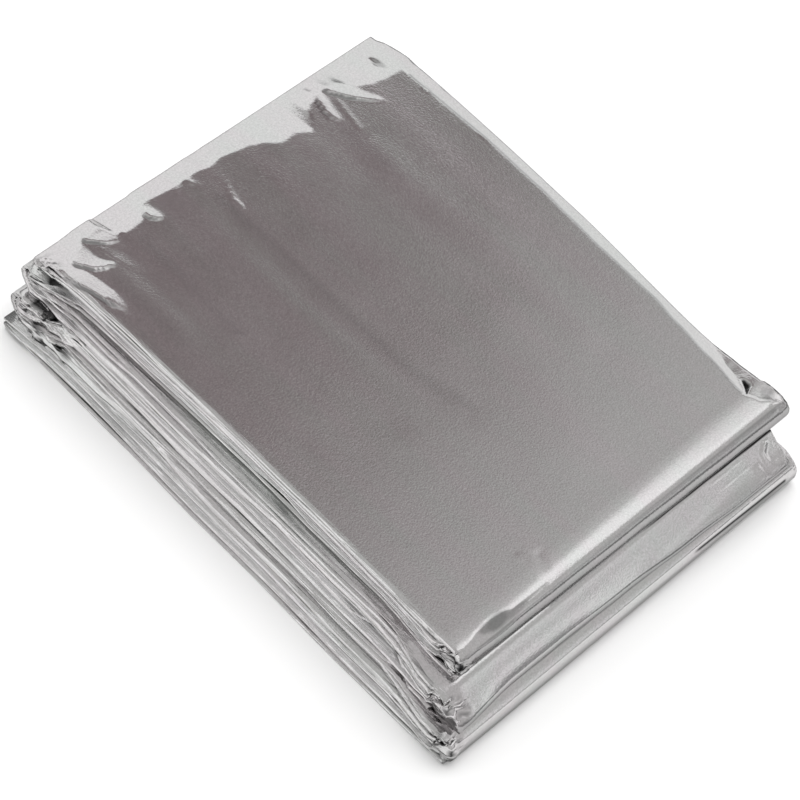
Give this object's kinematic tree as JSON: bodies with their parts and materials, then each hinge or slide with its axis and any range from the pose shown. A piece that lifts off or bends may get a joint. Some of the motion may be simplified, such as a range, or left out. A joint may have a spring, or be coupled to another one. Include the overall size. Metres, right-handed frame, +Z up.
{
  "type": "emergency foil blanket",
  "caption": "Thin metallised film blanket folded back and forth into a flat oblong pad, kept in a kit and opened out to hold in body heat.",
  "frame": {"origin": "centre of the folded pad's bounding box, on the plane it rests on", "axes": "+X along the pad's length towards its stepped round fold ends, +Y across its width, +Z up through its thickness"},
  "size_m": [0.1426, 0.1132, 0.0264],
  "materials": {
    "metallised_film": "bright, mirror-like, finely creased"
  },
  "bodies": {
    "root": {"foil_blanket": "metallised_film"}
  },
  "joints": []
}
